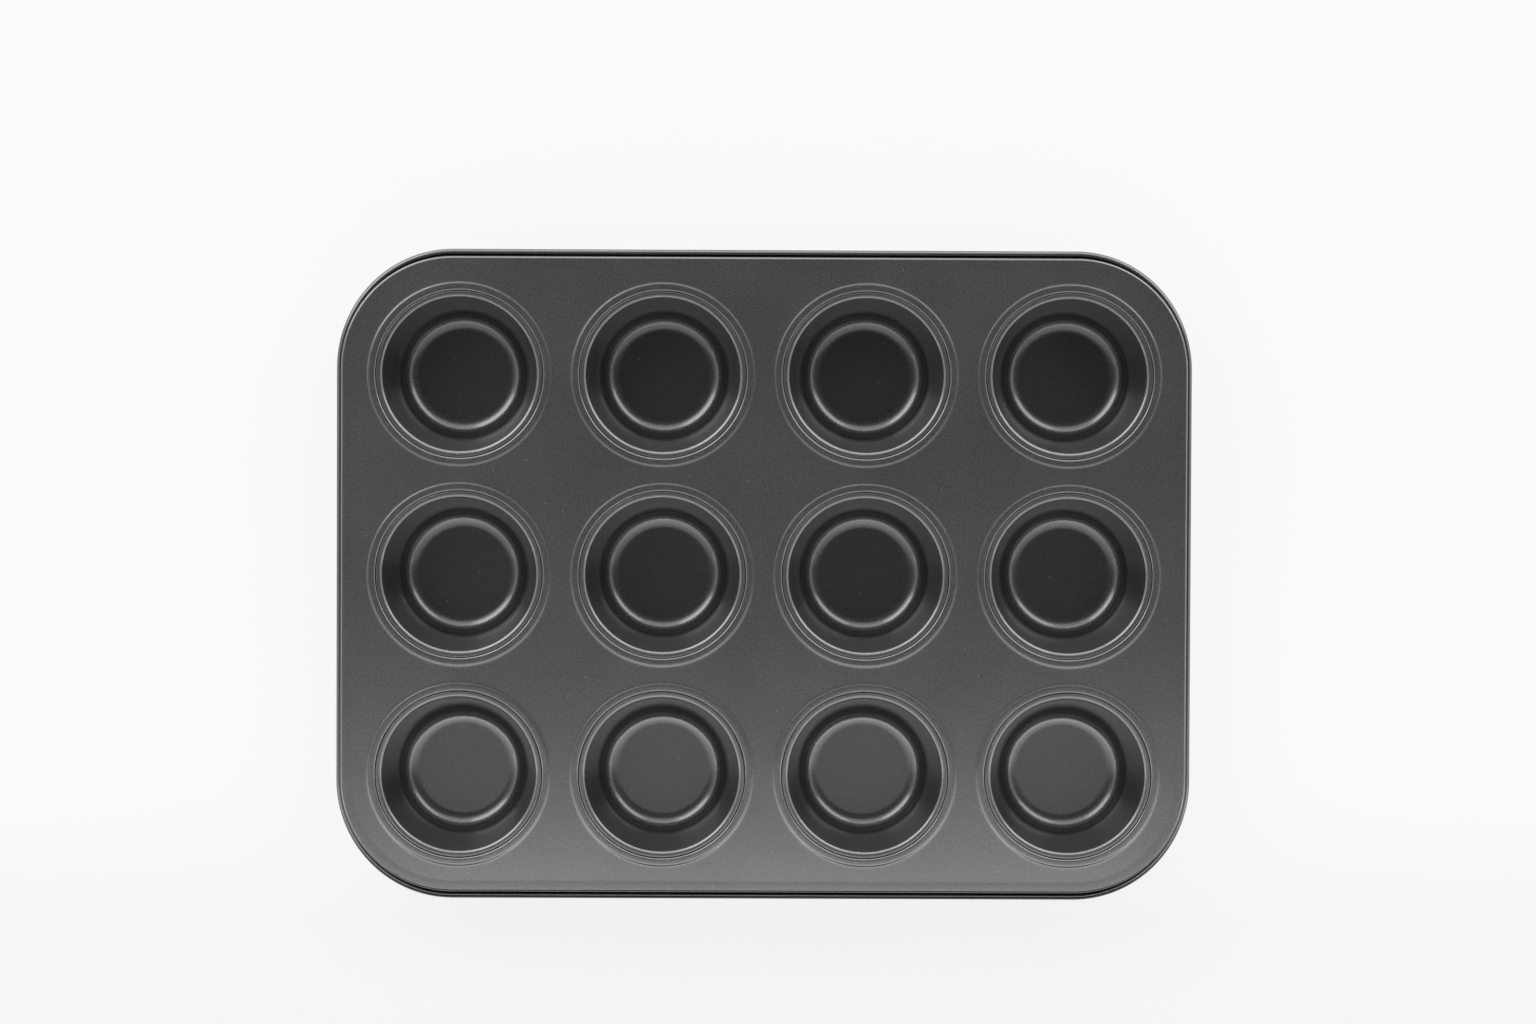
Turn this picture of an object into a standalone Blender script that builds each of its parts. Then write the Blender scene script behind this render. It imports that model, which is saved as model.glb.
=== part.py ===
"""A twelve-cup muffin pan, lying on a shelf with its cups open to the top.

It is made of coated steel sheet, the way a bakery pan is: a pierced frame whose rim is
rolled over a steel wire, and twelve drawn cups, each folded round the lip of its hole.
Lengths are in metres, +Z is up, and the origin is under the middle of the pan, on the
plane that the cup floors stand on.
"""

import math

import bmesh
import bpy

# The pattern of cups, and the flat strips of frame that are left between their rings.
COLUMNS = 4
ROWS = 3
WEB_ACROSS_LENGTH = 0.0059
WEB_ACROSS_WIDTH = 0.0046
BORDER_AT_ENDS = 0.00965
BORDER_AT_SIDES = 0.0091

# Sheet, wire, and the gap that neighbouring pieces keep.
FRAME_SHEET = 0.0005
CUP_SHEET = 0.0004
WIRE_RADIUS = 0.0007
CLEARANCE = 0.0003

# A cup: its wall is a cone, and the base and mouth radii are where the straight lines meet.
CUP_DEPTH = 0.0294
CUP_BASE_RADIUS = 0.0238
CUP_MOUTH_RADIUS = 0.0310
CUP_FLOOR_FILLET = 0.0060
CUP_MOUTH_ROUND = 0.0026
LEDGE_WIDTH = 0.0031
LEDGE_DROP_AT_MOUTH = 0.0005
LEDGE_DROP_AT_SEAM = 0.0002

# The seam under the frame: the hole's collar turns out into a lip, and the cup folds round it.
# On top it shows as a low ring, which the frame's sheet is pressed over.
LIP_WIDTH = 0.0021
HOOK_LENGTH = 0.0010
RING_RISE = 0.0002
RING_SLOPE_WIDTH = 0.0014

# The rim: the frame turns down over a round edge and rolls outwards around the wire.
# The roll stands a little out from the wall's foot along the sides, and tucks in at the ends.
RIM_CORNER_RADIUS = 0.0455
RIM_EDGE_ROUND = 0.0015
RIM_WIRE_DROP = 0.0045
RIM_LEAN_AT_ENDS = -0.0004
RIM_LEAN_AT_SIDES = 0.0010
ROLL_START = 180
ROLL_END = 470

# How finely round shapes are cut.
CUP_SEGMENTS = 24
CUP_FILLET_STEPS = 2
CORNER_STEPS = 8
EDGE_ROUND_STEPS = 2
ROLL_STEPS = 8
WIRE_RESOLUTION = 2
MERGE_DISTANCE = 0.00001
SHARP_ANGLE = 40

# What follows from the sizes above: radii of the seam, and its heights over the frame's top.
LEDGE_END_RADIUS = CUP_MOUTH_RADIUS + LEDGE_WIDTH
HOLE_RADIUS = LEDGE_END_RADIUS + CLEARANCE
LIP_RADIUS = HOLE_RADIUS + LIP_WIDTH
HOOK_RADIUS = LIP_RADIUS + CLEARANCE
SEAM_RADIUS = HOOK_RADIUS + CUP_SHEET
RING_RADIUS = SEAM_RADIUS + RING_SLOPE_WIDTH
HOOK_HEIGHT = RING_RISE - FRAME_SHEET - CLEARANCE - CUP_SHEET
LIP_HEIGHT = HOOK_HEIGHT - CLEARANCE - FRAME_SHEET
CHANNEL_HEIGHT = LIP_HEIGHT - CLEARANCE

# What follows for the whole pan.
PITCH_X = 2 * RING_RADIUS + WEB_ACROSS_LENGTH
PITCH_Y = 2 * RING_RADIUS + WEB_ACROSS_WIDTH
WALL_HALF_X = (COLUMNS - 1) * PITCH_X / 2 + RING_RADIUS + BORDER_AT_ENDS
WALL_HALF_Y = (ROWS - 1) * PITCH_Y / 2 + RING_RADIUS + BORDER_AT_SIDES
ROLL_RADIUS = WIRE_RADIUS + CLEARANCE
DECK_TOP = CUP_DEPTH + CUP_SHEET

# The baked coating and the bare wire: linear colour, roughness, and how metallic each looks.
COATING_LOOK = ((0.075, 0.073, 0.075, 1.0), 0.36, 0.6)
WIRE_LOOK = ((0.42, 0.41, 0.40, 1.0), 0.35, 1.0)


def clear_scene():
    """Removes whatever the file opened with."""
    for obj in list(bpy.data.objects):
        bpy.data.objects.remove(obj)


def make_material(name, colour, roughness, metallic):
    material = bpy.data.materials.new(name)
    material.use_nodes = True
    shader = material.node_tree.nodes["Principled BSDF"]
    shader.inputs["Base Color"].default_value = colour
    shader.inputs["Roughness"].default_value = roughness
    shader.inputs["Metallic"].default_value = metallic
    return material


def fillet(before, corner, after, radius, steps):
    """Points of the arc that rounds a corner of a profile, from its first tangent point to its last."""
    to_before = (before[0] - corner[0], before[1] - corner[1])
    to_after = (after[0] - corner[0], after[1] - corner[1])
    angle_before = math.atan2(to_before[1], to_before[0])
    angle_after = math.atan2(to_after[1], to_after[0])
    opening = (angle_after - angle_before + math.pi) % (2 * math.pi) - math.pi
    half = abs(opening) / 2
    # The arc ends within the two straight sides that it joins.
    reach = min(radius / math.tan(half), math.hypot(*to_before), math.hypot(*to_after))
    rounding = reach * math.tan(half)
    bisector = angle_before + opening / 2
    centre_x = corner[0] + math.cos(bisector) * rounding / math.sin(half)
    centre_y = corner[1] + math.sin(bisector) * rounding / math.sin(half)
    first = angle_before - math.copysign(math.pi / 2, opening)
    turn = -math.copysign(math.pi - abs(opening), opening)
    angles = [first + turn * i / steps for i in range(steps + 1)]
    return [
        (centre_x + rounding * math.cos(angle), centre_y + rounding * math.sin(angle))
        for angle in angles
    ]


def cup_profile():
    """The upper surface of a cup, as radius and height over the frame's top, from the middle outwards."""
    middle = (0.0, -CUP_DEPTH)
    base = (CUP_BASE_RADIUS, -CUP_DEPTH)
    mouth = (CUP_MOUTH_RADIUS, -LEDGE_DROP_AT_MOUTH)
    ledge_end = (LEDGE_END_RADIUS, -LEDGE_DROP_AT_SEAM)
    return [
        middle,
        *fillet(middle, base, mouth, CUP_FLOOR_FILLET, CUP_FILLET_STEPS),
        *fillet(base, mouth, ledge_end, CUP_MOUTH_ROUND, CUP_FILLET_STEPS),
        ledge_end,
        (LEDGE_END_RADIUS, CHANNEL_HEIGHT),
        (HOOK_RADIUS, CHANNEL_HEIGHT),
        (HOOK_RADIUS, HOOK_HEIGHT),
        (HOOK_RADIUS - HOOK_LENGTH, HOOK_HEIGHT),
    ]


def hole_profile():
    """The upper surface of the frame around a hole, as radius and height over the frame's top.

    It climbs the low ring, turns down into the collar and ends in the lip, whose upper side faces down.
    """
    return [
        (RING_RADIUS, 0.0),
        (SEAM_RADIUS, RING_RISE),
        (HOLE_RADIUS, RING_RISE),
        (HOLE_RADIUS, LIP_HEIGHT),
        (LIP_RADIUS, LIP_HEIGHT),
    ]


def rim_profile():
    """The upper surface of the rim: distance outside the wall, share of the wall's lean, height over the top.

    The sheet turns down over the round edge, and its outer face becomes the inside of the roll.
    """
    points = []
    for i in range(EDGE_ROUND_STEPS + 1):
        angle = math.pi / 2 * i / EDGE_ROUND_STEPS
        outside = RIM_EDGE_ROUND * (math.sin(angle) - 1)
        points.append((outside, 0.0, RIM_EDGE_ROUND * (math.cos(angle) - 1)))
    for i in range(ROLL_STEPS + 1):
        angle = math.radians(ROLL_START + (ROLL_END - ROLL_START) * i / ROLL_STEPS)
        outside = ROLL_RADIUS * (1 + math.cos(angle))
        points.append((outside, 1.0, ROLL_RADIUS * math.sin(angle) - RIM_WIRE_DROP))
    return points


def rim_loop(outside, lean, height):
    """Points of the rounded rectangle that lies this far outside the rim's wall, with this share of its lean."""
    centre_x = WALL_HALF_X - RIM_CORNER_RADIUS
    centre_y = WALL_HALF_Y - RIM_CORNER_RADIUS
    reach_x = RIM_CORNER_RADIUS + outside + lean * RIM_LEAN_AT_ENDS
    reach_y = RIM_CORNER_RADIUS + outside + lean * RIM_LEAN_AT_SIDES
    points = []
    for quarter, (side_x, side_y) in enumerate(((1, 1), (-1, 1), (-1, -1), (1, -1))):
        for i in range(CORNER_STEPS + 1):
            angle = math.pi / 2 * (quarter + i / CORNER_STEPS)
            x = side_x * centre_x + reach_x * math.cos(angle)
            y = side_y * centre_y + reach_y * math.sin(angle)
            points.append((x, y, DECK_TOP + height))
    return points


def hole_loop(centre, radius, height):
    """Points of a circle around the middle of one hole."""
    points = []
    for i in range(CUP_SEGMENTS):
        angle = 2 * math.pi * i / CUP_SEGMENTS
        x = centre[0] + radius * math.cos(angle)
        y = centre[1] + radius * math.sin(angle)
        points.append((x, y, DECK_TOP + height))
    return points


def cup_centres():
    """Each cup's name and centre, by row from the far side and by column from the left."""
    centres = {}
    for row in range(ROWS):
        for column in range(COLUMNS):
            x = (column - (COLUMNS - 1) / 2) * PITCH_X
            y = ((ROWS - 1) / 2 - row) * PITCH_Y
            centres[f"cup_row{row + 1}_col{column + 1}"] = (x, y)
    return centres


def add_loop(bm, points):
    """A closed loop of edges through these points. It gives the corners back."""
    corners = [bm.verts.new(point) for point in points]
    for i in range(len(corners)):
        bm.edges.new((corners[i - 1], corners[i]))
    return corners


def extrude_loop(bm, corners, points):
    """Extrudes a closed loop to the next points, one for each corner, and gives the new corners back."""
    edges = [bm.edges.get((corners[i - 1], corners[i])) for i in range(len(corners))]
    made = bmesh.ops.extrude_edge_only(bm, edges=edges)["geom"]
    new = {item for item in made if isinstance(item, bmesh.types.BMVert)}
    following = []
    for corner, point in zip(corners, points):
        neighbours = [edge.other_vert(corner) for edge in corner.link_edges]
        moved = next(vert for vert in neighbours if vert in new)
        moved.co = point
        following.append(moved)
    return following


def add_sheet_thickness(obj, thickness):
    """Thickens an open surface on the side away from its normals, as sheet of one gauge."""
    solidify = obj.modifiers.new("sheet thickness", "SOLIDIFY")
    solidify.thickness = thickness
    solidify.offset = -1
    solidify.use_even_offset = True


def make_frame(parts, coating):
    """The pierced frame: its flat top, the ring, collar and lip of each hole, and the rolled rim."""
    bm = bmesh.new()
    rim = [rim_loop(*point) for point in rim_profile()]
    edge = add_loop(bm, rim[0])
    hole_start, *hole_rest = hole_profile()
    centres = cup_centres().values()
    holes = [add_loop(bm, hole_loop(centre, *hole_start)) for centre in centres]
    bmesh.ops.triangle_fill(bm, use_beauty=True, edges=bm.edges[:], normal=(0, 0, 1))
    for hole, centre in zip(holes, centres):
        for point in hole_rest:
            hole = extrude_loop(bm, hole, hole_loop(centre, *point))
    for loop in rim[1:]:
        edge = extrude_loop(bm, edge, loop)
    bmesh.ops.recalc_face_normals(bm, faces=bm.faces[:])
    bm.faces.ensure_lookup_table()
    if bm.faces[0].normal.z < 0:
        bmesh.ops.reverse_faces(bm, faces=bm.faces[:])
    mesh = bpy.data.meshes.new("frame")
    bm.to_mesh(mesh)
    bm.free()
    mesh.shade_smooth()
    mesh.set_sharp_from_angle(angle=math.radians(SHARP_ANGLE))
    mesh.materials.append(coating)
    frame = bpy.data.objects.new("frame", mesh)
    parts.objects.link(frame)
    add_sheet_thickness(frame, FRAME_SHEET)


def make_rim_wire(parts, steel):
    """The wire that stiffens the rim, a closed ring inside the roll."""
    path = bpy.data.curves.new("rim_wire", "CURVE")
    path.dimensions = "3D"
    path.bevel_depth = WIRE_RADIUS
    path.bevel_resolution = WIRE_RESOLUTION
    points = rim_loop(ROLL_RADIUS, 1.0, -RIM_WIRE_DROP)
    spline = path.splines.new("POLY")
    spline.points.add(len(points) - 1)
    for spline_point, point in zip(spline.points, points):
        spline_point.co = (*point, 1.0)
    spline.use_cyclic_u = True
    path.materials.append(steel)
    parts.objects.link(bpy.data.objects.new("rim_wire", path))


def make_cups(parts, coating):
    """The drawn cups: one turned sheet, repeated over the pattern."""
    bm = bmesh.new()
    corners = [bm.verts.new((radius, 0.0, height)) for radius, height in cup_profile()]
    for first, second in zip(corners, corners[1:]):
        bm.edges.new((first, second))
    mesh = bpy.data.meshes.new("cup")
    bm.to_mesh(mesh)
    bm.free()
    mesh.materials.append(coating)
    for name, (x, y) in cup_centres().items():
        cup = bpy.data.objects.new(name, mesh)
        cup.location = (x, y, DECK_TOP)
        parts.objects.link(cup)
        turn = cup.modifiers.new("turned shape", "SCREW")
        turn.steps = turn.render_steps = CUP_SEGMENTS
        turn.use_merge_vertices = True
        turn.merge_threshold = MERGE_DISTANCE
        turn.use_smooth_shade = True
        add_sheet_thickness(cup, CUP_SHEET)


def main():
    clear_scene()
    parts = bpy.data.collections.new("muffin pan")
    bpy.context.scene.collection.children.link(parts)
    coating = make_material("dark coating", *COATING_LOOK)
    steel = make_material("steel wire", *WIRE_LOOK)
    make_frame(parts, coating)
    make_rim_wire(parts, steel)
    make_cups(parts, coating)
    roll_reach = 2 * ROLL_RADIUS + FRAME_SHEET
    length = 2 * (WALL_HALF_X + RIM_LEAN_AT_ENDS + roll_reach)
    width = 2 * (WALL_HALF_Y + RIM_LEAN_AT_SIDES + roll_reach)
    print(f"pan {length * 1000:.1f} x {width * 1000:.1f} x {(DECK_TOP + RING_RISE) * 1000:.1f} mm")


main()
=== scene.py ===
# %% [markdown]
# # A muffin pan in dark coated steel
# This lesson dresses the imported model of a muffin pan: twelve drawn cups, the pierced frame that
# holds them, and the wire that its rim is rolled over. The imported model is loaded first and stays
# where it is. Each new piece is placed by its boxes, so none of them has to be fitted by eye.

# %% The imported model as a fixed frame
import math

import bmesh
import bpy
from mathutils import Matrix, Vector


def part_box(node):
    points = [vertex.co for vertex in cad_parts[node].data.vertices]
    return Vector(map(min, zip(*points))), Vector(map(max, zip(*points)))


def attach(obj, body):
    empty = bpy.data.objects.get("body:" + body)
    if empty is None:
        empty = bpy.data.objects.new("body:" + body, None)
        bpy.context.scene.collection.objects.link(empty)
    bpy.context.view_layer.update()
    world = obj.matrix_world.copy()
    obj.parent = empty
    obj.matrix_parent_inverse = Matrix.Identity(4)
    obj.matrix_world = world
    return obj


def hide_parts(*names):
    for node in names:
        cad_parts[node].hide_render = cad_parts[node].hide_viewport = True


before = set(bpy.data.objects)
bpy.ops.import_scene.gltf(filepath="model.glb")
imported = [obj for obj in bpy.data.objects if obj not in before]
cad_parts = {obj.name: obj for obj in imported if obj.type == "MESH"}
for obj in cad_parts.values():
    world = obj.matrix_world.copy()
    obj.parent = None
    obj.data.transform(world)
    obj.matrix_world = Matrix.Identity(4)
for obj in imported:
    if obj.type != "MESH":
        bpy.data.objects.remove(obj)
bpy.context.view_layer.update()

MM = 0.001
cup_nodes = sorted(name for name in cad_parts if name.startswith("cup_"))

# %% [markdown]
# ## Reading sizes from the frame
# The boxes of the solids say where each cup stands and how far the rim reaches. What a box can't
# say, such as the radius of a bend or of a mouth, is a value of this script. Heights are counted
# from the top of the frame's flat sheet, which lies a little lower than its highest point: each
# mouth has a low ring pressed around it.

# %% Places that follow from the boxes
RING_RISE = 0.3 * MM
frame_low, frame_high = (Vector(corner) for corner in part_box("frame"))
SHEET_TOP = frame_high.z - RING_RISE
HALF_LENGTH = (frame_high.x - frame_low.x) / 2
HALF_WIDTH = (frame_high.y - frame_low.y) / 2


def middle_of(node):
    """The middle of a node's box, seen from above."""
    low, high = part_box(node)
    return ((low[0] + high[0]) / 2, (low[1] + high[1]) / 2)


cup_middles = {name: middle_of(name) for name in cup_nodes}
print(f"the sheet's top is at {SHEET_TOP / MM:.2f} mm")
print(f"half the length is {HALF_LENGTH / MM:.2f} mm, half the width {HALF_WIDTH / MM:.2f} mm")

# %% [markdown]
# ## Bent sheet as a line with rounded corners
# All of this pan but the wire is sheet metal, so one section through it says nearly everything:
# straight stretches, joined by bends. A list of corners, each with its bend radius, is how a
# toolmaker would note that down. The helper below turns such a list into a line, with arcs for the
# bends. An arc is drawn in small steps of its turn. The steps are longer around the holes, because
# all twelve holes are in one mesh with the rim, and that mesh has to stay small.

# %% A section line from corners and bend radii
FINE_BEND = math.radians(6)
COARSE_BEND = math.radians(10)
LEAST_STEPS = 4


def bend(before, corner, after, radius, step):
    """Points of the arc that rounds one corner, one for each step of its turn."""
    to_before = (before - corner).normalized()
    to_after = (after - corner).normalized()
    half = to_before.angle(to_after) / 2
    centre = corner + (to_before + to_after).normalized() * radius / math.sin(half)
    start = corner + to_before * radius / math.tan(half) - centre
    end = corner + to_after * radius / math.tan(half) - centre
    first = math.atan2(start.y, start.x)
    turn = (math.atan2(end.y, end.x) - first + math.pi) % (2 * math.pi) - math.pi
    steps = max(LEAST_STEPS, math.ceil(abs(turn) / step))
    angles = [first + turn * i / steps for i in range(steps + 1)]
    return [(centre.x + radius * math.cos(a), centre.y + radius * math.sin(a)) for a in angles]


def section(corners, step=FINE_BEND):
    """A line through corners given as (across, height, bend radius), all in millimetres."""
    places = [Vector((across, height)) * MM for across, height, radius in corners]
    line = [tuple(places[0])]
    for i in range(1, len(corners) - 1):
        radius = corners[i][2] * MM
        if radius:
            line += bend(places[i - 1], places[i], places[i + 1], radius, step)
        else:
            line.append(tuple(places[i]))
    return line + [tuple(places[-1])]


# %% [markdown]
# ## Sheet thickness
# The cups and the frame are open surfaces of the sheet's upper side. Solidify gives them the gauge
# of the steel on the other side, and closes the cut edges, so each ends as a closed body. The wire
# is closed from the start and needs no gauge.

# %% Turning a surface into sheet
SHARP_ANGLE = math.radians(35)


def finish_piece(mesh, gauge=None):
    """Makes an object of a mesh, shades its bends smooth and gives it the gauge of the sheet."""
    mesh.shade_smooth()
    mesh.set_sharp_from_angle(angle=SHARP_ANGLE)
    piece = bpy.data.objects.new(mesh.name, mesh)
    bpy.context.scene.collection.objects.link(piece)
    if gauge:
        solidify = piece.modifiers.new("gauge", "SOLIDIFY")
        solidify.thickness = gauge
        solidify.offset = -1
        solidify.use_even_offset = True
    return piece


# %% [markdown]
# ## The cups
# A cup is drawn from a round blank. Its floor is flat, a wide bend leads into the cone of the wall,
# and a smaller one leads out over the mouth into a narrow ledge. The blank's edge is folded under
# the frame around the lip of the hole, where it can't be seen from above. A turned section gives
# all of this in one go, and the corners stay readable.

# %% The section of a cup, from its middle outwards
CUP_GAUGE = 0.4 * MM
CUP_DEPTH = SHEET_TOP / MM - CUP_GAUGE / MM
FLOOR_CORNER = 24.4
FLOOR_BEND = 7.5
MOUTH_CORNER = 31.55
MOUTH_HEIGHT = -0.3
MOUTH_BEND = 1.8
LEDGE_START = 33.1
LEDGE_END = 34.0
LEDGE_HEIGHT = -0.12
LEDGE_BEND = 4.0
SEAM_BEND = 0.42
FOLD_REACH = 36.8
FOLD_HEIGHT = -2.1
FOLD_TOP = -1.0
FOLD_HEM = 35.8
FOLD_BEND = 0.2

cup_section = section([
    (0.0, -CUP_DEPTH, 0),
    (FLOOR_CORNER, -CUP_DEPTH, FLOOR_BEND),
    (MOUTH_CORNER, MOUTH_HEIGHT, MOUTH_BEND),
    (LEDGE_START, LEDGE_HEIGHT, LEDGE_BEND),
    (LEDGE_END, LEDGE_HEIGHT, SEAM_BEND),
    (LEDGE_END, FOLD_HEIGHT, FOLD_BEND),
    (FOLD_REACH, FOLD_HEIGHT, FOLD_BEND),
    (FOLD_REACH, FOLD_TOP, FOLD_BEND),
    (FOLD_HEM, FOLD_TOP, 0),
])
print(f"a cup's section has {len(cup_section)} points")

# %% Turning the section around each cup's middle
ROUND_SEGMENTS = 96


def circle(middle, across, height):
    """Points of a level circle, this far across from a cup's middle."""
    points = []
    for i in range(ROUND_SEGMENTS):
        angle = 2 * math.pi * i / ROUND_SEGMENTS
        x = middle[0] + across * math.cos(angle)
        y = middle[1] + across * math.sin(angle)
        points.append((x, y, SHEET_TOP + height))
    return points


def turned_surface(name, line, middle):
    """The surface that a section sweeps around an upright axis. The section starts on the axis."""
    points = [(middle[0], middle[1], SHEET_TOP + line[0][1])]
    for across, height in line[1:]:
        points += circle(middle, across, height)
    faces = [(0, 1 + i, 1 + (i + 1) % ROUND_SEGMENTS) for i in range(ROUND_SEGMENTS)]
    for ring in range(len(line) - 2):
        inner = 1 + ring * ROUND_SEGMENTS
        outer = inner + ROUND_SEGMENTS
        for i in range(ROUND_SEGMENTS):
            j = (i + 1) % ROUND_SEGMENTS
            faces.append((inner + i, outer + i, outer + j, inner + j))
    mesh = bpy.data.meshes.new(name)
    mesh.from_pydata(points, [], faces)
    return mesh


cups = {}
for node, middle in cup_middles.items():
    cup = finish_piece(turned_surface(f"drawn_{node}", cup_section, middle), CUP_GAUGE)
    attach(cup, "root")
    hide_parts(node)
    cups[node] = cup
print(f"{len(cups)} cups of {len(cup.data.polygons)} faces each")

# %% [markdown]
# ## The frame
# The frame is one sheet. Around each mouth it climbs a low ring, turns down into the hole and ends
# in the lip that the cup is folded round. At its outside it rises very slightly, turns down over a
# round edge and rolls outwards around the wire. The flat part between is a fill between loops, and
# a flat strip is kept on both sides of it, so the light doesn't bend across the large triangles.

# %% The section of the frame around a hole, from outside inwards
FRAME_GAUGE = 0.5 * MM
HOLE_FILL_END = 39.6
HOLE_FLAT_END = 39.1
RING_FOOT = 37.7
RING_SHOULDER = 36.9
SHOULDER_HEIGHT = 0.295
RING_BEND = 2.2
HOLE_RADIUS = 34.15
COLLAR_HEIGHT = 0.27
COLLAR_BEND = 0.8
LIP_REACH = 36.5
LIP_HEIGHT = -1.8
LIP_BEND = 0.2

hole_section = section([
    (HOLE_FILL_END, 0.0, 0),
    (HOLE_FLAT_END, 0.0, 0),
    (RING_FOOT, 0.0, RING_BEND),
    (RING_SHOULDER, SHOULDER_HEIGHT, RING_BEND),
    (HOLE_RADIUS, COLLAR_HEIGHT, COLLAR_BEND),
    (HOLE_RADIUS, LIP_HEIGHT, LIP_BEND),
    (LIP_REACH, LIP_HEIGHT, 0),
], COARSE_BEND)

# %% The section of the rim, from the flat sheet outwards
WIRE_RADIUS = 0.7 * MM
WIRE_DROP = 4.5 * MM
WIRE_GAP = 0.3 * MM
ROLL_RADIUS = WIRE_RADIUS + WIRE_GAP
ROLL_START = 180
ROLL_END = 470
ROLL_STEPS = 36
RIM_FILL_END = -7.5
RIM_FLAT_END = -7.0
LIFT_START = -4.5
LIFT_BEND = 30.0
EDGE_HEIGHT = 0.15
EDGE_BEND = 1.0

rim_section = [(across, 0.0, height) for across, height in section([
    (RIM_FILL_END, 0.0, 0),
    (RIM_FLAT_END, 0.0, 0),
    (LIFT_START, 0.0, LIFT_BEND),
    (0.0, EDGE_HEIGHT, EDGE_BEND),
    (0.0, -WIRE_DROP / MM, 0),
])[:-1]]
for i in range(ROLL_STEPS + 1):
    angle = math.radians(ROLL_START + (ROLL_END - ROLL_START) * i / ROLL_STEPS)
    outside = ROLL_RADIUS * (1 + math.cos(angle))
    rim_section.append((outside, 1.0, ROLL_RADIUS * math.sin(angle) - WIRE_DROP))
print(f"the rim's section has {len(rim_section)} points")

# %% [markdown]
# The rim is a rounded rectangle that is offset again and again. Along the long sides its wall leans
# a little outwards down to the roll, and at the ends it leans inwards, so each point of the section
# also says how much of that lean it takes.

# %% Loops of the rim
LEAN_AT_ENDS = -0.4 * MM
LEAN_AT_SIDES = 0.65 * MM
CORNER_RADIUS = 45.5 * MM
CORNER_STEPS = 30
QUARTERS = ((1, 1), (-1, 1), (-1, -1), (1, -1))
ROLL_REACH = 2 * ROLL_RADIUS + FRAME_GAUGE
CAD_ROUNDING = 0.03 * MM
WALL_HALF_LENGTH = HALF_LENGTH - CAD_ROUNDING - ROLL_REACH - LEAN_AT_ENDS
WALL_HALF_WIDTH = HALF_WIDTH - CAD_ROUNDING - ROLL_REACH - LEAN_AT_SIDES


def rim_loop(outside, lean, height):
    """Points of the rounded rectangle that lies this far outside the rim's wall."""
    reach_x = CORNER_RADIUS + outside + lean * LEAN_AT_ENDS
    reach_y = CORNER_RADIUS + outside + lean * LEAN_AT_SIDES
    points = []
    for quarter, (side_x, side_y) in enumerate(QUARTERS):
        for i in range(CORNER_STEPS + 1):
            angle = math.pi / 2 * (quarter + i / CORNER_STEPS)
            x = side_x * (WALL_HALF_LENGTH - CORNER_RADIUS) + reach_x * math.cos(angle)
            y = side_y * (WALL_HALF_WIDTH - CORNER_RADIUS) + reach_y * math.sin(angle)
            points.append((x, y, SHEET_TOP + height))
    return points


# %% Building the frame's surface
def closed_loop(bm, points):
    """New corners through these points, joined into a closed loop of edges."""
    corners = [bm.verts.new(point) for point in points]
    for i in range(len(corners)):
        bm.edges.new((corners[i - 1], corners[i]))
    return corners


def strip(bm, corners, points, outwards):
    """A strip of faces from a loop of corners to the next loop, which it gives back."""
    following = [bm.verts.new(point) for point in points]
    for i in range(len(corners)):
        face = [corners[i - 1], corners[i], following[i], following[i - 1]]
        bm.faces.new(face[::-1] if outwards else face)
    return following


def frame_surface():
    """The upper side of the frame's sheet, from the lips of the holes to the end of the roll."""
    bm = bmesh.new()
    edge = closed_loop(bm, rim_loop(*rim_section[0]))
    holes = {
        node: closed_loop(bm, circle(middle, *hole_section[0]))
        for node, middle in cup_middles.items()
    }
    bmesh.ops.triangle_fill(bm, use_beauty=True, edges=bm.edges[:], normal=(0, 0, 1))
    for face in bm.faces:
        if face.normal.z < 0:
            face.normal_flip()
    for point in rim_section[1:]:
        edge = strip(bm, edge, rim_loop(*point), True)
    for node, hole in holes.items():
        for point in hole_section[1:]:
            hole = strip(bm, hole, circle(cup_middles[node], *point), False)
    mesh = bpy.data.meshes.new("pierced_frame")
    bm.to_mesh(mesh)
    bm.free()
    return mesh


pierced_frame = finish_piece(frame_surface(), FRAME_GAUGE)
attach(pierced_frame, "root")
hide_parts("frame")
print(f"the frame has {len(pierced_frame.data.polygons)} faces")

# %% [markdown]
# ## The wire in the rim
# The roll hides nearly all of the wire. It shows only from above, through the slit between the end
# of the roll and the wall, but it is there, as a closed ring of round wire. Its loops follow the
# same rounded rectangle as the roll.

# %% The wire
WIRE_SIDES = 16


def wire_surface():
    """A closed tube along the middle of the roll."""
    bm = bmesh.new()
    angles = [2 * math.pi * i / WIRE_SIDES for i in range(WIRE_SIDES)]
    loops = [
        rim_loop(ROLL_RADIUS + WIRE_RADIUS * math.cos(a), 1.0, WIRE_RADIUS * math.sin(a) - WIRE_DROP)
        for a in angles
    ]
    rings = [[bm.verts.new(point) for point in loop] for loop in loops]
    for first, second in zip(rings, rings[1:] + rings[:1]):
        for i in range(len(first)):
            bm.faces.new((first[i - 1], first[i], second[i], second[i - 1]))
    bmesh.ops.recalc_face_normals(bm, faces=bm.faces[:])
    mesh = bpy.data.meshes.new("stiffening_wire")
    bm.to_mesh(mesh)
    bm.free()
    return mesh


stiffening_wire = finish_piece(wire_surface())
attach(stiffening_wire, "root")
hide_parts("rim_wire")
print(f"the wire has {len(stiffening_wire.data.polygons)} faces")

# %% [markdown]
# ## Shader maths as sums and products
# Shader nodes are easier to read as arithmetic. The class below holds one socket, and adding or
# multiplying such values adds the Math nodes. Every other node comes from the method node, which
# sets the node's own settings first and then its sockets. A Mix node has its sockets once for each
# kind of data, under the same names, so the ones for colours are reached by number.

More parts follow.
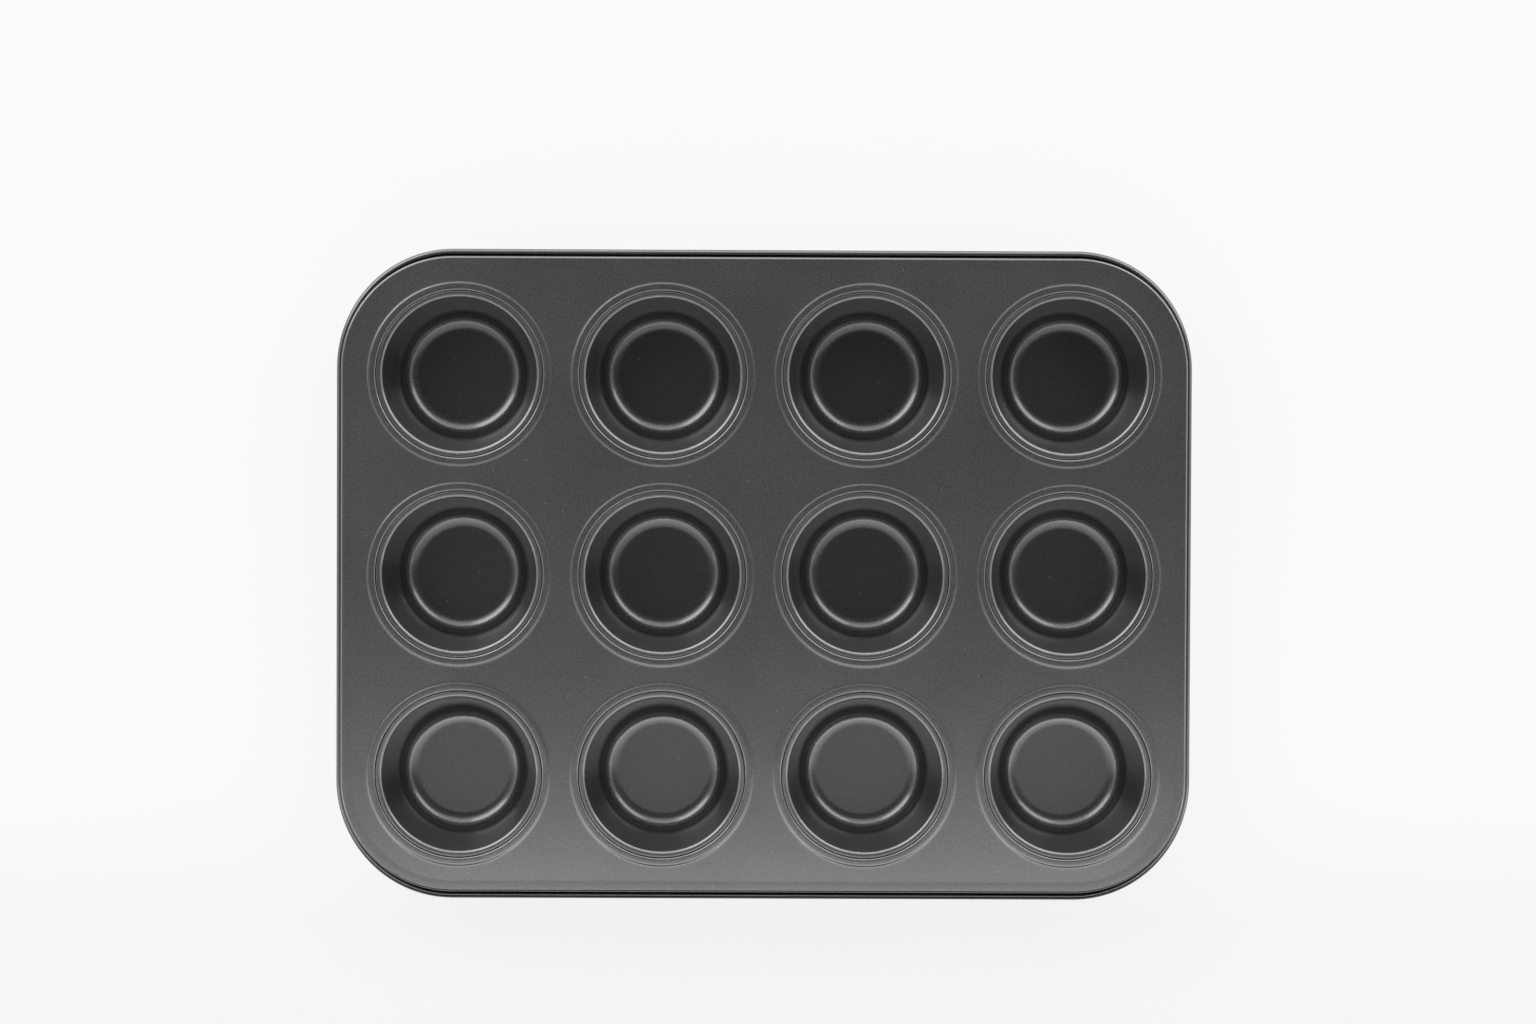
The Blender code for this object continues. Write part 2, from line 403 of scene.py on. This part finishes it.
# %% A socket that can be calculated with
MIX_SHARE = 0
MIX_FIRST = 6
MIX_SECOND = 7
MIX_RESULT = 2


class Value:
    """One output socket of a node tree."""

    def __init__(self, tree, socket=None):
        self.tree = tree
        self.socket = socket

    def node(self, kind, settings=None, sockets=None, out=0):
        """Adds a node of this kind, and gives one of its outputs back."""
        made = self.tree.nodes.new(f"ShaderNode{kind}")
        for key, value in (settings or {}).items():
            setattr(made, key, value)
        for key, value in (sockets or {}).items():
            if isinstance(value, Value):
                value.into(made.inputs[key])
            else:
                made.inputs[key].default_value = value
        return Value(self.tree, made.outputs[out])

    def into(self, target):
        """Feeds this value into another node's socket."""
        self.tree.links.new(self.socket, target)

    def maths(self, operation, first, second):
        """Adds a Math node for two values or numbers."""
        return self.node("Math", {"operation": operation}, {0: first, 1: second})

    def __add__(self, other):
        return self.maths("ADD", self, other)

    __radd__ = __add__

    def __mul__(self, other):
        return self.maths("MULTIPLY", self, other)

    __rmul__ = __mul__

    def __sub__(self, other):
        return self.maths("SUBTRACT", self, other)

    def __rsub__(self, other):
        return self.maths("SUBTRACT", other, self)

    def ramp(self, low, high, to_low=0.0, to_high=1.0):
        """Goes smoothly from to_low to to_high while this value goes from low to high."""
        settings = {"interpolation_type": "SMOOTHSTEP"}
        sockets = {0: self, 1: low, 2: high, 3: to_low, 4: to_high}
        return self.node("MapRange", settings, sockets)

    def mix(self, first, second):
        """Goes from the first colour to the second as this value goes from 0 to 1."""
        return mixed_colour(self, self, first, second)


def mixed_colour(tree, share, first, second):
    """Two colours mixed, with this share of the second."""
    sockets = {MIX_SHARE: share, MIX_FIRST: first, MIX_SECOND: second}
    return tree.node("Mix", {"data_type": "RGBA"}, sockets, out=MIX_RESULT)


# %% Where the materials start from
NOISE_MIDDLE = 0.5


def new_material(name):
    """A material with a Principled shader. It gives the shader and an empty value of its tree back."""
    material = bpy.data.materials.new(name)
    material.use_nodes = True
    return material, material.node_tree.nodes["Principled BSDF"], Value(material.node_tree)


def noise(tree, place, size, detail):
    """Noise whose features have about this size."""
    return tree.node("TexNoise", sockets={"Vector": place, "Scale": 1 / size, "Detail": detail})


def bump(tree, height, strength, distance):
    """A normal that is bumpy where this height changes."""
    return tree.node("Bump", sockets={"Strength": strength, "Distance": distance, "Height": height})


# %% [markdown]
# ## The baked coating
# The dark non-stick coating is sprayed on and baked. Seen close, it is two things at once: a clear,
# slick top film, and under it dark grains that scatter the light widely. So the shader has a glossy
# coat over a rough, dark, metallic base. The film gives the crisp lines along the bends, and the
# base gives the flat parts their soft grey. The spray leaves a fine grain, slow differences in how
# matt and how warm it dried, and a few tiny pale specks. All of these come from patterns in the
# pan's own coordinates, so no two cups repeat. From just below the top on, the base has only half
# of its colour: this is painted shade on the walls and floors of the cups. That is a fit to the
# photograph, where the walls and floors of the cups are darker than one coating in this light makes
# them. It stands for nothing that is known about coatings.

# %% The coating's values
COATING_COOL = (0.069, 0.076, 0.079, 1.0)
COATING_WARM = (0.094, 0.085, 0.088, 1.0)
COATING_METALLIC = 0.87
COATING_ROUGHNESS = 0.5
FILM_SHARE = 0.94
FILM_ROUGHNESS = 0.2
FILM_IOR = 2.0

BLOTCH_SIZE = 35 * MM
BLOTCH_DETAIL = 2.0
BLOTCH_SPAN = (0.38, 0.62)
BLOTCH_IN_ROUGHNESS = 0.08
BLOTCH_IN_FILM = 0.12

GRAIN_SIZE = 0.8 * MM
GRAIN_DETAIL = 3.0
GRAIN_SPAN = (0.3, 0.7)
GRAIN_DARK = 0.8
GRAIN_PALE = 1.2
GRAIN_IN_COLOUR = 0.6
GRAIN_IN_ROUGHNESS = 0.06
GRAIN_IN_FILM = 0.1
GRAIN_BUMP = 0.25
GRAIN_HEIGHT = 0.02 * MM

SPECK_PALE = (0.42, 0.41, 0.40, 1.0)
SPECK_CELL = 7 * MM
SPECK_SPAN = (0.022, 0.036)
SPECK_IN_COLOUR = 0.6

# Painted shade: below the sheet's top, the cups' walls and floors get half of the base colour.
PAINTED_SHADE_SHARE = 0.5
PAINTED_SHADE_FROM = SHEET_TOP - 0.3 * MM
PAINTED_SHADE_FULLY = SHEET_TOP - 2.5 * MM


# %% The coating's shader
def darker(colour, share):
    """The colour at a share of its strength."""
    return (*[part * share for part in colour[:3]], 1.0)


def sprayed_colour(tree, grain, blotch, share):
    """The grains' colour, warmer in blotches and paler in grains, at a share of its strength."""
    cool, warm = darker(COATING_COOL, share), darker(COATING_WARM, share)
    dark, pale = darker(COATING_COOL, GRAIN_DARK * share), darker(COATING_WARM, GRAIN_PALE * share)
    tint = blotch.ramp(*BLOTCH_SPAN).mix(cool, warm)
    shade = grain.ramp(*GRAIN_SPAN).mix(dark, pale)
    return mixed_colour(tree, GRAIN_IN_COLOUR, tint, shade)


def coating_material():
    """The coating of the frame and the cups."""
    material, shader, tree = new_material("baked_coating")
    place = tree.node("TexCoord", out="Object")
    level = tree.node("SeparateXYZ", sockets={0: place}, out="Z")
    grain = noise(tree, place, GRAIN_SIZE, GRAIN_DETAIL)
    blotch = noise(tree, place, BLOTCH_SIZE, BLOTCH_DETAIL)
    speck = tree.node("TexVoronoi", sockets={"Vector": place, "Scale": 1 / SPECK_CELL})

    flat = sprayed_colour(tree, grain, blotch, 1.0)
    # Painted shade: the base colour is halved from just below the sheet's top down into the cups.
    painted_shade_colour = sprayed_colour(tree, grain, blotch, PAINTED_SHADE_SHARE)
    sheet = level.ramp(PAINTED_SHADE_FULLY, PAINTED_SHADE_FROM).mix(painted_shade_colour, flat)
    specks = speck.ramp(*SPECK_SPAN, 1.0, 0.0) * SPECK_IN_COLOUR
    specks.mix(sheet, SPECK_PALE).into(shader.inputs["Base Color"])

    blotches = blotch - NOISE_MIDDLE
    grains = grain - NOISE_MIDDLE
    roughness = COATING_ROUGHNESS + blotches * BLOTCH_IN_ROUGHNESS + grains * GRAIN_IN_ROUGHNESS
    film = FILM_SHARE + blotches * BLOTCH_IN_FILM + grains * GRAIN_IN_FILM
    roughness.into(shader.inputs["Roughness"])
    film.into(shader.inputs["Coat Weight"])
    bump(tree, grain, GRAIN_BUMP, GRAIN_HEIGHT).into(shader.inputs["Normal"])

    shader.inputs["Metallic"].default_value = COATING_METALLIC
    shader.inputs["Coat Roughness"].default_value = FILM_ROUGHNESS
    shader.inputs["Coat IOR"].default_value = FILM_IOR
    return material


coating = coating_material()
for piece in [pierced_frame, *cups.values()]:
    piece.data.materials.append(coating)

# %% [markdown]
# ## The steel wire
# The photograph doesn't show the wire, so its finish is a guess: bare drawn steel with a fine grain,
# and a thin film of oxide on it in darker and browner patches.

# %% The wire's shader
WIRE_BRIGHT = (0.44, 0.43, 0.42, 1.0)
WIRE_OXIDE = (0.16, 0.13, 0.11, 1.0)
WIRE_ROUGHNESS = 0.3
OXIDE_SIZE = 9 * MM
OXIDE_DETAIL = 4.0
OXIDE_SPAN = (0.4, 0.65)
OXIDE_IN_ROUGHNESS = 0.2
WIRE_GRAIN_SIZE = 0.2 * MM
WIRE_GRAIN_DETAIL = 2.0
WIRE_GRAIN_BUMP = 0.3
WIRE_GRAIN_HEIGHT = 0.02 * MM


def wire_material():
    """Bare steel with patches of oxide."""
    material, shader, tree = new_material("wire_steel")
    place = tree.node("TexCoord", out="Object")
    patches = noise(tree, place, OXIDE_SIZE, OXIDE_DETAIL)
    grain = noise(tree, place, WIRE_GRAIN_SIZE, WIRE_GRAIN_DETAIL)
    roughness = WIRE_ROUGHNESS + patches * OXIDE_IN_ROUGHNESS
    patches.ramp(*OXIDE_SPAN).mix(WIRE_BRIGHT, WIRE_OXIDE).into(shader.inputs["Base Color"])
    roughness.into(shader.inputs["Roughness"])
    bump(tree, grain, WIRE_GRAIN_BUMP, WIRE_GRAIN_HEIGHT).into(shader.inputs["Normal"])
    shader.inputs["Metallic"].default_value = 1.0
    return material


stiffening_wire.data.materials.append(wire_material())

# %% [markdown]
# ## The floor
# The pan lies on a plain pale floor. Straight to the camera and in reflections the floor is mostly
# its own white, and the rest is lit, so that the pan keeps a soft shadow.

# %% The floor and its finish
FLOOR_HALF = 4.0
FLOOR_SINK = 0.05 * MM
FLOOR_COLOUR = (0.86, 0.855, 0.86, 1.0)
FLOOR_ROUGHNESS = 0.9
FLOOR_SPECULAR = 0.1
FLOOR_GLOW = (0.966, 0.949, 0.962, 1.0)
FLOOR_GLOW_SHARE = 0.9


def floor_material():
    """A pale matt floor that glows by itself for straight, mirrored and transmitted rays."""
    material, shader, tree = new_material("pale_floor")
    shader.inputs["Base Color"].default_value = FLOOR_COLOUR
    shader.inputs["Roughness"].default_value = FLOOR_ROUGHNESS
    shader.inputs["Specular IOR Level"].default_value = FLOOR_SPECULAR
    seen = tree.node("LightPath", out="Is Camera Ray")
    mirrored = tree.node("LightPath", out="Is Glossy Ray")
    through = tree.node("LightPath", out="Is Transmission Ray")
    straight = tree.maths("MAXIMUM", tree.maths("MAXIMUM", seen, mirrored), through)
    glow = tree.node("Emission", sockets={"Color": FLOOR_GLOW, "Strength": 1.0})
    mixed = tree.node("MixShader", sockets={
        0: straight * FLOOR_GLOW_SHARE,
        1: Value(material.node_tree, shader.outputs["BSDF"]),
        2: glow,
    })
    mixed.into(material.node_tree.nodes["Material Output"].inputs["Surface"])
    return material


floor_corners = [
    (-FLOOR_HALF, -FLOOR_HALF, -FLOOR_SINK),
    (FLOOR_HALF, -FLOOR_HALF, -FLOOR_SINK),
    (FLOOR_HALF, FLOOR_HALF, -FLOOR_SINK),
    (-FLOOR_HALF, FLOOR_HALF, -FLOOR_SINK),
]
floor_mesh = bpy.data.meshes.new("floor")
floor_mesh.from_pydata(floor_corners, [], [(0, 1, 2, 3)])
floor_mesh.materials.append(floor_material())
floor = bpy.data.objects.new("floor", floor_mesh)
bpy.context.scene.collection.objects.link(floor)

# %% [markdown]
# ## The light
# A satin pan shows its surroundings as soft shapes, so the light is built of large plain panels that
# stand like a bay of screens round the far half of the pan, five across and four high, each with its
# own brightness. The far left and far right parts of the bay are the brightest. Close beyond the
# near edge stands an apron of wide panels, brightest at its foot, which lights the near rows. The
# space straight above stays dim, and that is what keeps the flat sheet dark. The strengths came
# first from a least-squares fit of what each panel lights to the photograph's brightness on the pan,
# and were then rounded and changed. They suit that one viewpoint: from lower ones the film
# mirrors the panels, and the pan looks paler than its coating is.

# %% How bright each panel is
BAY_DISTANCE = 1.25
BAY_WIDTH = 1.03
BAY_HEIGHTS = ((0.05, 0.40), (0.40, 0.85), (0.85, 1.35), (1.35, 2.0))
BAY_RADIANCE = {
    0: (0.9, 1.3, 0.6, 0.1),
    45: (3.6, 2.4, 3.3, 0.4),
    90: (3.2, 2.1, 1.6, 1.0),
    135: (2.0, 4.4, 4.0, 1.2),
    180: (0.3, 1.3, 0.7, 0.3),
}
APRON_BEARING = 270
APRON_DISTANCE = 0.145
APRON_WIDTH = 1.2
APRON_RADIANCE = {
    (0.07, 0.12): 2.5,
    (0.12, 0.25): 1.4,
    (0.25, 0.45): 0.8,
    (0.45, 0.75): 0.62,
    (0.75, 1.2): 0.16,
}


# %% Panels of light
def add_panel(name, bearing, distance, width, low, high, radiance):
    """An upright panel that faces the pan's middle. Its power is pi times radiance and area."""
    light = bpy.data.lights.new(name, "AREA")
    light.shape = "RECTANGLE"
    light.size = width
    light.size_y = high - low
    light.energy = radiance * math.pi * width * (high - low)
    panel = bpy.data.objects.new(name, light)
    way = Vector((math.cos(math.radians(bearing)), math.sin(math.radians(bearing)), 0))
    panel.location = way * distance + Vector((0, 0, (low + high) / 2))
    panel.rotation_euler = (-way).to_track_quat("-Z", "Y").to_euler()
    panel.visible_camera = False
    bpy.context.scene.collection.objects.link(panel)


for bearing, radiances in BAY_RADIANCE.items():
    for (low, high), radiance in zip(BAY_HEIGHTS, radiances):
        add_panel(f"bay_{bearing}_{high}", bearing, BAY_DISTANCE, BAY_WIDTH, low, high, radiance)
for (low, high), radiance in APRON_RADIANCE.items():
    add_panel(f"apron_{high}", APRON_BEARING, APRON_DISTANCE, APRON_WIDTH, low, high, radiance)
print(f"{len(BAY_RADIANCE) * len(BAY_HEIGHTS)} panels in the bay, {len(APRON_RADIANCE)} in the apron")

# %% [markdown]
# ## The space around
# The world is a plain studio: its walls are white near the floor, less high on the near side, dark
# cloth hangs above that, and the ceiling is dim. Straight above, a small patch is darker still, as
# behind a camera. It takes a little light off the floors of the cups, and hardly any off the sheet.

# %% The world
WALL_SPAN = (0.1, 0.38)
NEAR_SPAN = (-0.9, -0.6)
NEAR_LOWERING = 1.2
CEILING = 0.11
CEILING_SPAN = (0.75, 0.9)
PATCH_LEAN = 0.03
PATCH_SPAN = (0.991, 0.9995)
PATCH_LEFT = 0.1

world = bpy.data.worlds.new("studio")
bpy.context.scene.world = world
world.use_nodes = True
world_tree = Value(world.node_tree)
direction = world_tree.node("TexCoord", out="Generated")
across = world_tree.node("SeparateXYZ", sockets={0: direction}, out="X")
depth = world_tree.node("SeparateXYZ", sockets={0: direction}, out="Y")
height = world_tree.node("SeparateXYZ", sockets={0: direction}, out="Z")
lowered = height + height * depth.ramp(*NEAR_SPAN, NEAR_LOWERING, 0.0)
patch = (height + across * PATCH_LEAN).ramp(*PATCH_SPAN, 1.0, PATCH_LEFT)
room = lowered.ramp(*WALL_SPAN, 1.0, 0.0) + patch * height.ramp(*CEILING_SPAN, 0.0, CEILING)
background = world.node_tree.nodes["Background"]
room.into(background.inputs["Color"])
background.inputs["Strength"].default_value = 1.0

# %% [markdown]
# ## The camera
# The photograph looks at the pan almost square on, from a little above its middle, with a long
# lens. The place and the turn of the camera come from a least-squares fit to the middles of the
# twelve mouths and floors in the picture.

# %% The camera
CAMERA_PLACE = (-0.0061, 0.0542, 1.4221)
CAMERA_TURN = (-1.164, -0.31, 0.237)
LENS = 79.93
SENSOR_WIDTH = 36

camera_data = bpy.data.cameras.new("camera")
camera_data.lens = LENS
camera_data.sensor_width = SENSOR_WIDTH
camera = bpy.data.objects.new("camera", camera_data)
camera.location = CAMERA_PLACE
camera.rotation_euler = [math.radians(angle) for angle in CAMERA_TURN]
bpy.context.scene.collection.objects.link(camera)
bpy.context.scene.camera = camera
bpy.context.scene.view_settings.view_transform = "Standard"
